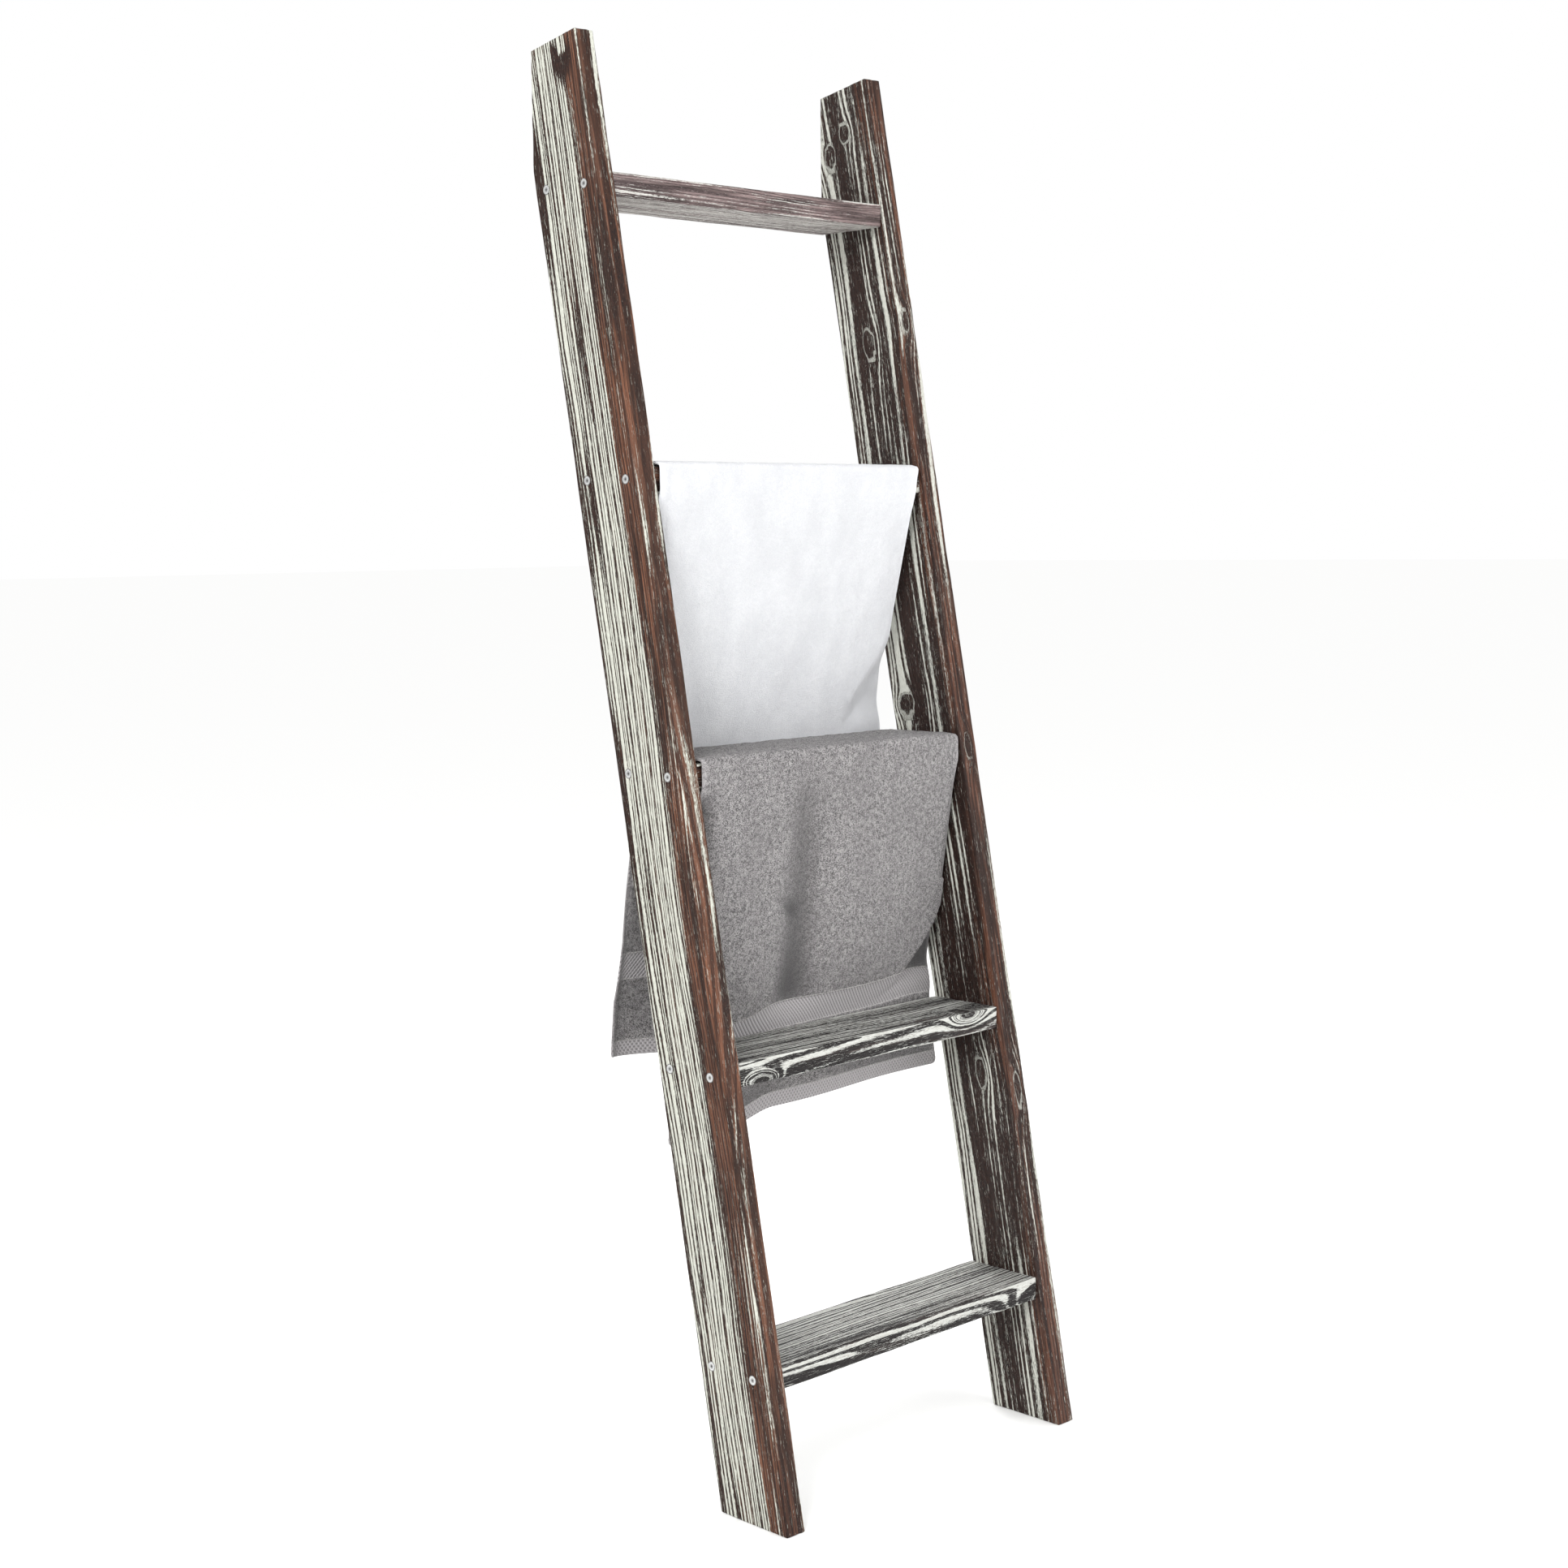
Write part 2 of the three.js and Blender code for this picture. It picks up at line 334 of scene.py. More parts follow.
class Plank:
    """A plank: its size, pith, knots, screws and finish, and its place in the frame."""

    def __init__(self, name, seed, length, origin, axes, pith, zones, knots=(), patches=(), screws=(),
                 wander=1.6, spacing=1.0):
        self.name, self.seed, self.length = name, seed, length
        self.origin, self.axes, self.pith, self.zones = origin, axes, pith, zones
        self.knots, self.patches, self.screws = knots, patches, screws
        self.wander, self.spacing = wander, spacing

    def place(self, a, b, c):
        """Points of the frame, in metres, for plank coordinates in millimetres."""
        local = np.stack((a, b, c), axis=1) * MM
        return np.array(self.origin) + local @ np.array(self.axes)

    def rings(self, a, b, c):
        """The ring coordinate in mm, and how far each point is inside a knot, from 0 to 1."""
        across, through = b, c
        swollen, inside, own = np.zeros_like(a), np.zeros_like(a), np.zeros_like(a)
        for k in self.knots:
            side, away = k.offsets(a, b, c)
            reach = k.reach(b)
            push = side * np.minimum((k.radius / np.maximum(away, 1e-3)) ** 2, 1) * reach
            if k.axis == "c":
                across = across - push
            else:
                through = through - push
            swollen = swollen + k.bulge * reach * np.exp(-((away / (1.9 * k.radius)) ** 2))
            ragged = away + 0.12 * k.radius * noise(a / 7, b / 4, c / 4, self.seed + 40)
            here = (1 - smoothstep(0.85 * k.radius, 1.1 * k.radius, ragged)) * reach
            own = np.where(here > inside, 0.8 * ragged, own)
            inside = np.maximum(inside, here)
        pith_b = self.pith[0] + 7 * noise(a / 310, seed=self.seed + 1)
        pith_c = self.pith[1] + 4 * noise(a / 230, seed=self.seed + 2)
        radius = np.hypot(across - pith_b, through - pith_c) + swollen
        radius = radius + self.wander * noise(a / 150, b / 30, c / 30, self.seed + 3)
        radius = radius + 0.5 * noise(a / 60, b / 13, c / 13, self.seed + 4)
        return (radius * (1 - inside) + own * inside) / self.spacing, inside

    def finish_at(self, a, b, c, normal):
        """How much whitewash and how much charring each point has, from 0 to 1."""
        weight = normal**2
        faces = (("end", weight[:, 0], b), ("front", weight[:, 1] * (normal[:, 1] < 0), c),
                 ("back", weight[:, 1] * (normal[:, 1] > 0), c),
                 ("top", weight[:, 2] * (normal[:, 2] < 0), b),
                 ("under", weight[:, 2] * (normal[:, 2] > 0), b))
        drift = 5 * noise(a / 160, seed=self.seed + 7)
        wash, char = 0.0, 0.0
        for face, share, place in faces:
            spots, washes, chars = zip(*self.zones[face])
            wash = wash + share * np.interp(place + drift, spots, washes)
            char = char + share * np.interp(place + drift, spots, chars)
        wash = wash + 0.5 * weight[:, 1] * weight[:, 2]
        wash = wash + 0.3 * noise(a / 120, b / 9, c / 9, self.seed + 8)
        char = char + 0.35 * noise(a / 150, b / 11, c / 11, self.seed + 9)
        for along, across, long, wide, more_wash, more_char in self.patches:
            near = np.exp(-(((a - along) / long) ** 2 + ((b - across) ** 2 + c**2) / wide**2))
            wash, char = wash + more_wash * near, char + more_char * near
        return np.clip(wash, 0, 1), np.clip(char, 0, 1)

    def dimples(self, a, b, c):
        """How deep the screws' countersinks are below the outer face at each point."""
        deep = np.zeros_like(a)
        for screw_a, screw_b in self.screws:
            away = np.hypot(a - screw_a, b - screw_b)
            deep = np.maximum(deep, np.clip(SINK[0] - away, 0, SINK[1]))
        return np.where(c < 1, deep, 0)


def box_shell(counts):
    """The places in a lattice that lie on its outside, and the four-cornered faces on them."""
    sizes = np.array(counts) + 1
    number = np.arange(sizes.prod()).reshape(sizes)
    faces = []
    for axis in range(3):
        flat = np.moveaxis(number, axis, 0)
        for side in (0, -1):
            g = flat[side]
            quads = np.stack((g[:-1, :-1], g[1:, :-1], g[1:, 1:], g[:-1, 1:]), axis=-1).reshape(-1, 4)
            outward = (side == -1) != (axis == 1)
            faces.append(quads if outward else quads[:, ::-1])
    kept, quads = np.unique(np.concatenate(faces), return_inverse=True)
    return np.unravel_index(kept, sizes), quads.reshape(-1, 4)


def rows_along(length, dense_spans, coarse, fine):
    """Places along a plank, close together inside the dense spans."""
    fine_at = np.zeros(int(length) + 1)
    for low, high in dense_spans:
        fine_at[max(int(low), 0) : int(high) + 1] = 1
    density = np.where(fine_at > 0, 1 / fine, 1 / coarse)
    total = np.concatenate(([0], np.cumsum(density)))
    count = int(round(total[-1]))
    return np.interp(np.linspace(0, total[-1], count + 1), total, np.linspace(0, length, len(total)))


def round_arrises(points, size, radius):
    """Rounds a box's edges, and gives each point's outward direction as well."""
    inner = np.clip(points, radius[:, None], size - radius[:, None])
    out = points - inner
    far = np.maximum(np.linalg.norm(out, axis=1, keepdims=True), 1e-9)
    return inner + out / far * radius[:, None], out / far


def build_plank(plank, rows, shape_ends, material):
    """Makes one plank's mesh, with its rings, finish and plank coordinates on its points."""
    (i, j, k), quads = box_shell((len(rows) - 1, *GRID))
    size = np.array((plank.length, WIDTH, THICKNESS))
    box = np.stack((rows[i], j * WIDTH / GRID[0], k * THICKNESS / GRID[1]), axis=1)
    wear = ARRIS + 0.7 * noise(box[:, 0] / 37, box[:, 1] / 60, box[:, 2] / 20, plank.seed + 5)
    rounded, normal = round_arrises(box, size, wear)
    a, b, c = shape_ends(rounded)
    rings, inside = plank.rings(a, b, c)
    wash, char = plank.finish_at(a, b, c, normal)
    cut = RELIEF * (1 - ridge(rings)) * (1 - 0.7 * np.abs(normal[:, 0]))
    cut = cut + 0.15 * (1 + noise(a / 40, b / 5, c / 5, plank.seed + 6))
    dimples = plank.dimples(a, b, c)
    cut = np.where(dimples > 0, dimples, cut)
    a, b, c = (v - cut * normal[:, i] for i, v in enumerate((a, b, c)))
    mirrored = np.linalg.det(np.array(plank.axes)) < 0
    thing = add_mesh(plank.name, plank.place(a, b, c), quads[:, ::-1] if mirrored else quads)
    set_attribute(thing, "rings", rings)
    set_attribute(thing, "knot", inside)
    set_attribute(thing, "wash", wash)
    set_attribute(thing, "char", char)
    set_attribute(thing, "grain", np.stack((a, b, c), axis=1))
    thing.data.materials.append(material)
    return thing


def ring_phase(n):
    """The phase that ridge() gives a point, as a shader's value."""
    rings = n.attribute("rings")
    phase = n.scale(rings, 2 * math.pi / RING)
    for size, rate, start in RING_SWELLS:
        swell = n.math("SINE", n.math("MULTIPLY_ADD", rings, rate, start))
        phase = n.math("MULTIPLY_ADD", swell, size, phase)
    return phase


def wood_material(name, offset, cream, dark, light):
    """Pine that was charred, brushed and whitewashed, with the paint left on its ridges."""
    n = Nodes(name)
    grain = n.attribute("grain", "Vector")
    wash, char, knot = n.attribute("wash"), n.attribute("char"), n.attribute("knot")
    streak = n.noise(n.stretch(grain, (0.009, 0.6, 0.6), (offset, 0, 0)), detail=3, roughness=0.6)
    fibre = n.noise(n.stretch(grain, (0.03, 2.6, 2.6), (0, offset, 0)), detail=3, roughness=0.65)
    fleck = n.noise(n.stretch(grain, (0.22, 1.9, 1.9), (0, 0, offset)), detail=4, roughness=0.75)
    dash = n.noise(n.stretch(grain, (0.06, 1.5, 1.5), (0, 9.1, offset)), detail=4, roughness=0.7)
    broad = n.noise(n.stretch(grain, (0.006, 0.06, 0.06), (offset, offset, 0)), detail=2)
    blotch = n.noise(n.stretch(grain, (0.008, 0.11, 0.11), (0, offset, offset)), detail=3, roughness=0.55)
    phase = n.add(ring_phase(n), n.scale(streak, 0.7))
    height = n.math("MULTIPLY_ADD", n.math("SINE", phase), 0.5, 0.5)
    groove = n.ramp(n.add(height, n.scale(fibre, 0.16)), 0.33, 0.45, 1.0, 0.0)

    brown = n.mix(n.ramp(fibre, 0.34, 0.68), dark, light)
    dull = tuple(0.4 * low + 0.3 * high + 0.012 for low, high in zip(dark, light))
    brown = n.mix(n.ramp(broad, 0.35, 0.65, 0.0, 0.6), brown, dull)
    brown = n.mix(n.ramp(blotch, 0.42, 0.64, 0.0, 0.85), brown, (0.011, 0.007, 0.006))
    soot = n.mix(n.ramp(fleck, 0.35, 0.7), (0.006, 0.005, 0.005), tuple(1.7 * part for part in dark))
    burnt = n.add(n.ramp(n.add(char, n.scale(streak, 0.6)), 0.45, 0.9), n.scale(groove, 0.75))
    burnt = n.math("ADD", burnt, n.ramp(dash, 0.58, 0.68, 0.0, 0.35), clamp=True)
    bare = n.mix(n.math("MAXIMUM", burnt, n.scale(knot, 0.85)), brown, soot)

    paint = n.mix(n.ramp(n.add(fleck, n.scale(fibre, 0.5)), 0.5, 0.85), (0.27, 0.25, 0.225), cream)
    cover = n.add(n.scale(height, 0.50), n.scale(streak, 0.50), n.scale(fibre, 0.45), n.scale(fleck, 0.9))
    worn = n.add(n.scale(groove, 0.6), n.scale(knot, 0.9), n.ramp(dash, 0.40, 0.30, 0.0, 0.35))
    cover = n.math("MULTIPLY_ADD", wash, 1.05, n.math("SUBTRACT", cover, worn))
    knot_edge = n.math("MULTIPLY", knot, n.math("SUBTRACT", 1.0, knot))
    cover = n.math("MULTIPLY_ADD", knot_edge, 3.4, cover)
    chips = n.ramp(n.math("MULTIPLY_ADD", wash, 0.10, dash), 0.645, 0.675)
    hairs = n.ramp(n.math("MULTIPLY_ADD", wash, 0.08, fibre), 0.66, 0.72, 0.0, 0.6)
    painted = n.math("MAXIMUM", n.ramp(cover, 1.69, 1.78), n.math("MAXIMUM", chips, hairs))

    relief = n.add(n.scale(height, 0.5), n.scale(fibre, 0.7), n.scale(painted, 0.25))
    return n.finish(Base_Color=n.mix(painted, bare, paint), Roughness=n.ramp(painted, 0, 1, 0.55, 0.78),
                    Normal=n.bump(relief, 0.0005, 0.6), Specular_IOR_Level=0.14)


# The finish of each face, from its one edge to its other: the place in mm, and how much
# whitewash and how much charring there is at that place.
PLAIN_END = [(0, 0.45, 0.5), (89, 0.4, 0.5)]

LEFT_ZONES = {
    "top": [(0, 0.12, 0.15), (22, 0.15, 0.15), (29, 0.45, 0.4), (34, 0.85, 0.4), (61, 0.85, 0.3),
            (67, 0.4, 0.7), (73, 0.75, 0.5), (81, 0.55, 0.7), (86, 0.35, 0.8), (89, 0.3, 0.9)],
    "under": [(0, 0.3, 0.4), (45, 0.6, 0.5), (89, 0.4, 0.6)],
    "front": [(0, 0.22, 0.2), (12, 0.15, 0.1), (24, 0.3, 0.2)],
    "back": [(0, 0.3, 0.6), (24, 0.4, 0.6)],
    "end": PLAIN_END,
}
RIGHT_ZONES = {
    "top": [(0, 0.3, 0.4), (45, 0.6, 0.5), (89, 0.4, 0.6)],
    "under": [(0, 0.2, 0.3), (10, 0.2, 0.4), (22, 0.38, 0.7), (38, 0.35, 0.8), (48, 0.15, 0.9),
              (60, 0.22, 0.8), (68, 0.5, 0.7), (84, 0.52, 0.6), (89, 0.3, 0.6)],
    "front": [(0, 0.25, 0.25), (12, 0.15, 0.15), (24, 0.2, 0.3)],
    "back": [(0, 0.3, 0.6), (24, 0.4, 0.6)],
    "end": PLAIN_END,
}
STRIPED_RUNG_ZONES = {
    "top": [(0, 0.5, 0.5), (45, 0.6, 0.4), (89, 0.5, 0.6)],
    "under": [(0, 0.5, 0.5), (89, 0.5, 0.5)],
    "front": [(0, 0.62, 0.4), (10, 0.5, 0.4), (17, 0.45, 0.5), (24, 0.5, 0.8)],
    "back": [(0, 0.5, 0.5), (24, 0.5, 0.5)],
    "end": PLAIN_END,
}
BROWN_RUNG_ZONES = {
    "top": [(0, 0.35, 0.3), (89, 0.45, 0.4)],
    "under": [(0, 0.62, 0.4), (89, 0.6, 0.4)],
    "front": [(0, 0.3, 0.2), (12, 0.22, 0.15), (24, 0.35, 0.3)],
    "back": [(0, 0.4, 0.4), (24, 0.4, 0.4)],
    "end": PLAIN_END,
}
HAZY_RUNG_ZONES = {
    "top": [(0, 0.35, 0.2), (89, 0.45, 0.3)],
    "under": [(0, 0.6, 0.3), (89, 0.6, 0.3)],
    "front": [(0, 0.05, 0.0), (9, 0.12, 0.0), (16, 0.22, 0.0), (24, 0.15, 0.1)],
    "back": [(0, 0.4, 0.4), (24, 0.4, 0.4)],
    "end": PLAIN_END,
}


def screw_places(side):
    """Where the screws of one rail are, along and across it, in millimetres."""
    places = []
    for n in range(1, RUNG_COUNT + 1):
        for end in ("front", "back"):
            low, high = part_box(f"screw_{side}_{n}_{end}")
            y, z = (low.y + high.y) / 2 - TOE, (low.z + high.z) / 2
            along = y * math.sin(LEAN) + z * math.cos(LEAN)
            across = y * math.cos(LEAN) - z * math.sin(LEAN)
            places.append((along / MM, across / MM))
    return places


def rail_ends(length):
    """The level cut at a rail's foot, and the plumb cut where it rests on the wall."""

    def shape(points):
        a, b, c = points.T
        room = ((WALL - TOE) / MM - a * math.sin(LEAN)) / math.cos(LEAN)
        b = b * np.minimum(room / WIDTH, 1)
        foot = b * math.tan(LEAN)
        return foot + a * (length - foot) / length, b, c

    return shape


def end_spans(length):
    """The last few millimetres at both ends of a plank, where its edges are rounded."""
    return [(0, 4), (length - 4, length)]


def build_rail(side, seed, pith, spacing, zones, knots, patches, material):
    """One rail, its coordinates starting at the front of its foot, on its outer face."""
    low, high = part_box(f"{side}_rail")
    outer, inward = (low.x, 1) if side == "left" else (high.x, -1)
    sine, cosine = math.sin(LEAN), math.cos(LEAN)
    axes = ((0, sine, cosine), (0, cosine, -sine), (inward, 0, 0))
    length = HEIGHT / MM / cosine
    screws = screw_places(side)
    plank = Plank(f"{side}_rail_wood", seed, length, (outer, TOE, 0), axes, pith, zones, knots, patches,
                  screws, spacing=spacing)
    crowded = end_spans(length)
    crowded += [(along - 6, along + 6) for along, across in screws]
    crowded += [(k.along - k.radius, k.along + k.radius) for k in knots]
    rows = rows_along(length, crowded, *RAIL_ROWS)
    rail = build_plank(plank, rows, rail_ends(length), material)
    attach(rail, "rack")
    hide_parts(f"{side}_rail")
    return rail


def build_rung(number, seed, pith, wander, spacing, zones, knots, material):
    """One rung, its coordinates starting at its left end, at the front of its top face."""
    low, high = rung_boxes[number]
    length = (high.x - low.x) / MM
    axes = ((1, 0, 0), (0, 1, 0), (0, 0, -1))
    plank = Plank(f"rung_{number}_wood", seed, length, (low.x, low.y, high.z), axes, pith, zones, knots,
                  wander=wander, spacing=spacing)
    rows = rows_along(length, end_spans(length), *RUNG_ROWS)
    rung = build_plank(plank, rows, lambda points: points.T, material)
    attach(rung, "rack")
    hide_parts(f"rung_{number}")
    return rung


# Each wood's name, shift of its patterns, and its paint's, its dark and its light colour.
pale_wood = wood_material("whitewashed_wood", 3.7, (0.57, 0.585, 0.515),
                          (0.028, 0.012, 0.008), (0.26, 0.110, 0.062))
dark_wood = wood_material("stained_wood", 8.3, (0.55, 0.56, 0.505),
                          (0.025, 0.012, 0.009), (0.20, 0.086, 0.052))
grey_wood = wood_material("sooty_wood", 2.1, (0.54, 0.55, 0.52),
                          (0.018, 0.016, 0.016), (0.15, 0.118, 0.108))
mauve_wood = wood_material("mauve_wood", 5.9, (0.54, 0.53, 0.50),
                           (0.085, 0.060, 0.060), (0.34, 0.255, 0.245))

# Patches of another finish on the left rail's outer face: places along and across it,
# length, width, and the whitewash and charring that they add.
LEFT_PATCHES = [
    (1421, 23, 8, 5, 4.0, -1.5),
    (1410, 25, 19, 12, -1.4, 1.2),
    (1330, 70, 60, 12, -0.3, 0.5),
    (1250, 76, 90, 9, -0.25, 0.4),
    (1150, 55, 80, 7, -0.5, 0.5),
    (1000, 72, 60, 6, -0.4, 0.4),
    (560, 50, 90, 16, 0.2, -0.2),
]
RIGHT_KNOTS = [
    Knot(1384, 40, 7),
    Knot(1366, 65, 8),
    Knot(1157, 48, 8, 4, stretch=2.0),
    Knot(771, 68, 11, 3, stretch=1.1),
    Knot(372, 38, 7, 4, stretch=2.3),
    Knot(1170, 14, 5, 9, "b", 2.4),
    Knot(717, 12, 5, 9, "b", 2.6),
    Knot(352, 12, 5, 10, "b", 3.4),
]
left_rail = build_rail("left", 11, (150, 60), 1.0, LEFT_ZONES, (), LEFT_PATCHES, pale_wood)
right_rail = build_rail("right", 23, (-60, -60), 1.6, RIGHT_ZONES, RIGHT_KNOTS, (), dark_wood)

# Each rung's seed, pith, wander and spacing of its rings, zones, knots, material and slot.
RUNG_1_KNOTS = [Knot(392, 24, 9, 14, "b", 3.0)]
RUNG_2_KNOTS = [Knot(326, 2, 4.4, 14, "b", 2.6), Knot(30, 22, 4.6, 14, "b", 2.4)]
RUNG_LOOKS = {
    1: (31, (120, 60), 3.5, 0.75, STRIPED_RUNG_ZONES, RUNG_1_KNOTS, grey_wood, "whitewashed_wood"),
    2: (37, (120, 60), 4.0, 0.7, STRIPED_RUNG_ZONES, RUNG_2_KNOTS, grey_wood, "whitewashed_wood"),
    3: (41, (150, 40), 1.6, 1.0, BROWN_RUNG_ZONES, [], dark_wood, "stained_wood"),
    4: (43, (150, 40), 1.6, 1.0, BROWN_RUNG_ZONES, [], dark_wood, "stained_wood"),
    5: (47, (110, 110), 1.2, 0.6, HAZY_RUNG_ZONES, [], mauve_wood, "stained_wood"),
}
for number, (*look, finish) in RUNG_LOOKS.items():
    build_rung(number, *look)


# ------------------------------------------------------------------------------ towels
#
# A towel is a grid draped along a path. x runs across it, z is a height, and s is the
# distance along it from the hem at the back. Its folds move the grid along the path's
# own outward direction. All sizes here are in millimetres.

PILE = 2.2  # half thickness of the terry
WOVEN = 1.25  # half thickness of hems, bands and selvedges
CLEAR = 3.0  # from a rung to the middle of the cloth
HALF_WIDTH = 203.0  # of a hand towel that lies flat
HEM = 16
BAND = (80, 107)  # the woven band, from the hem's edge
SELVEDGE = 5
CORNER = 7  # radius of the hem's corners
RIM = 2.2  # how far in from its edges a towel thins
CLOTH_ROWS = (2.9, 1.3)  # distance between rows of points, usual and where they crowd
COLUMNS = 152  # of points between the towel's margins
MARGIN = (0, 0.4, 0.9, 1.6, 3.0)  # columns beside each edge
RIB = 4.4  # distance between the ribs of a woven band, along its width


def corner_path(corners, step=1.0, softness=3.5):
    """Points every step along a line of corners, with the corners rounded."""
    corners = np.array(corners, float)
    runs = np.concatenate(([0], np.cumsum(np.linalg.norm(np.diff(corners, axis=0), axis=1))))
    places = np.arange(0, runs[-1], step)
    line = np.stack([np.interp(places, runs, corners[:, i]) for i in (0, 1)], axis=1)
    reach = int(4 * softness / step)
    kernel = np.exp(-0.5 * (np.arange(-reach, reach + 1) * step / softness) ** 2)
    kernel /= kernel.sum()
    before = line[0] + (line[0] - line[1]) * np.arange(reach, 0, -1)[:, None]
    after = line[-1] + (line[-1] - line[-2]) * np.arange(1, reach + 1)[:, None]
    padded = np.concatenate((before, line, after))
    smooth = np.stack([np.convolve(padded[:, i], kernel, "valid") for i in (0, 1)], axis=1)
    length = np.concatenate(([0], np.cumsum(np.linalg.norm(np.diff(smooth, axis=0), axis=1))))
    return smooth, length


def distance_to_line(x, z, line):
    """Distance to a line of points, its sign (positive on its right), and how far along it."""
    best, sign, place = np.full(x.shape, 1e9), np.ones(x.shape), np.zeros(x.shape)
    for i, ((x0, z0), (x1, z1)) in enumerate(zip(line, line[1:])):
        dx, dz = x1 - x0, z1 - z0
        t = np.clip(((x - x0) * dx + (z - z0) * dz) / (dx * dx + dz * dz), 0, 1)
        away = np.hypot(x - x0 - t * dx, z - z0 - t * dz)
        closer = away < best
        best = np.where(closer, away, best)
        sign = np.where(closer, np.sign((z - z0) * dx - (x - x0) * dz), sign)
        place = np.where(closer, (i + t) / (len(line) - 1), place)
    return best, sign, place


def furrow(x, z, line, depths, widths):
    """A soft trough along a line of points, with its depth and width at the line's two ends."""
    away, _, place = distance_to_line(x, z, line)
    depth = np.interp(place, (0, 1), depths)
    width = np.interp(place, (0, 1), widths)
    return -depth * np.exp(-((away / width) ** 2))


def step_back(x, z, line, depth, width):
    """The cloth to the right of a crease, set back."""
    away, sign, _ = distance_to_line(x, z, line)
    return -depth * smoothstep(0, width, np.where(sign > 0, away, 0))


def mound(x, z, centre, size, height):
    return height * np.exp(-(((x - centre[0]) / size[0]) ** 2) - ((z - centre[1]) / size[1]) ** 2)


def towel_rows(total, over):
    """Rows of a towel, close together at its rung's edges, its hems and its bands."""
    crowded = [(over[0] - 9, over[0] + 9), (over[-1] - 9, over[-1] + 9)]
    for edge in (0, HEM, *BAND):
        crowded += [(edge - 2, edge + 3), (total - edge - 3, total - edge + 2)]
    return rows_along(total, crowded, *CLOTH_ROWS)


def towel_columns():
    """Columns of a towel, from one selvedge at 0 to the other."""
    margin = np.array(MARGIN)
    middle = np.linspace(SELVEDGE, 2 * HALF_WIDTH - SELVEDGE, COLUMNS)
    return np.concatenate((margin, middle, 2 * HALF_WIDTH - margin[::-1]))


def drape(path, edges, folds):
    """The middle surface of a towel over its rung: rows, columns, points and fold depths."""
    line, lengths = corner_path(path)
    over = lengths[line[:, 1] > line[:, 1].max() - 2]
    rows, columns = towel_rows(lengths[-1], over), towel_columns()
    s, share = np.meshgrid(rows, columns / HALF_WIDTH - 1, indexing="ij")
    y, z = (np.interp(s, lengths, line[:, i]) for i in (0, 1))
    slope_y, slope_z = (np.interp(s, lengths, np.gradient(line[:, i], lengths)) for i in (0, 1))
    front = smoothstep(over[0] - 5, over[-1] + 5, s)
    left, right = edges(z, front)
    corner = 1 - np.clip(np.minimum(s, lengths[-1] - s) / CORNER, 0, 1)
    trim = 1 - CORNER * (1 - np.sqrt(1 - corner**2)) / HALF_WIDTH
    x = np.where(share < 0, -share * left, share * right) * trim
    out, drop = folds(x, z, front)
    return rows, columns, np.stack((x, y + slope_z * out, z + slope_y * out + drop), axis=-1), out


def within(low, high, x):
    """1 between two places and 0 outside them, with short soft ends."""
    return smoothstep(low - 1, low + 1, x) * (1 - smoothstep(high - 1, high + 1, x))


def build_towel(name, path, edges, folds, material, seed):
    """A towel and its stitches. edges and folds say how wide it is and how it folds."""
    rows, columns, points, out = drape(path, edges, folds)
    total = rows[-1]
    normals = np.cross(np.gradient(points, axis=0), np.gradient(points, axis=1))
    normals /= np.linalg.norm(normals, axis=-1, keepdims=True)
    s, flat_x = np.meshgrid(rows, columns - HALF_WIDTH, indexing="ij")
    from_hem = np.minimum(s, total - s)
    from_side = HALF_WIDTH - np.abs(flat_x)
    band = within(*BAND, from_hem)
    hem = 1 - smoothstep(HEM - 1, HEM + 1, from_hem)
    selvedge = 1 - smoothstep(SELVEDGE - 1, SELVEDGE + 1, from_side)
    woven = np.maximum(np.maximum(band, hem), selvedge)
    lumps = (1 - woven) * 0.3 * noise(flat_x / 2.6, s / 2.6, 0, seed)
    lumps = lumps + (1 - woven) * 0.35 * noise(flat_x / 11, s / 11, 0, seed + 1)
    rim = np.clip(np.minimum(from_side, from_hem) / RIM, 0, 1)
    half = (PILE + (WOVEN - PILE) * woven) * np.sqrt(np.maximum(1 - (1 - rim) ** 2, 0.08))
    (i, j, k), quads = box_shell((len(rows) - 1, len(columns) - 1, 2))
    side = k - 1.0
    offset = side * (half[i, j] + lumps[i, j])
    towel = add_mesh(name, (points[i, j] + normals[i, j] * offset[:, None]) * MM, quads)
    set_attribute(towel, "cloth", np.stack((flat_x[i, j], s[i, j], 40 * side), axis=1))
    set_attribute(towel, "band", band[i, j])
    set_attribute(towel, "hem", np.maximum(hem, 0.35 * selvedge)[i, j])
    # Painted shade: the further a fold sets the cloth back, the darker its terry is painted.
    set_attribute(towel, "painted_fold_shade", np.clip(-out / 10, 0, 1)[i, j])
    towel.data.materials.append(material)
    stitches = build_stitches(f"{name}_stitches", points, normals, half, rows, columns - HALF_WIDTH)
    return towel, stitches, total


STITCH = (1.7, 0.42, 2.1)  # a stitch's length and half thickness, and the distance between them
STITCH_SLANT = 0.35
STITCH_LIFT = 0.2  # from the cloth to the middle of a stitch


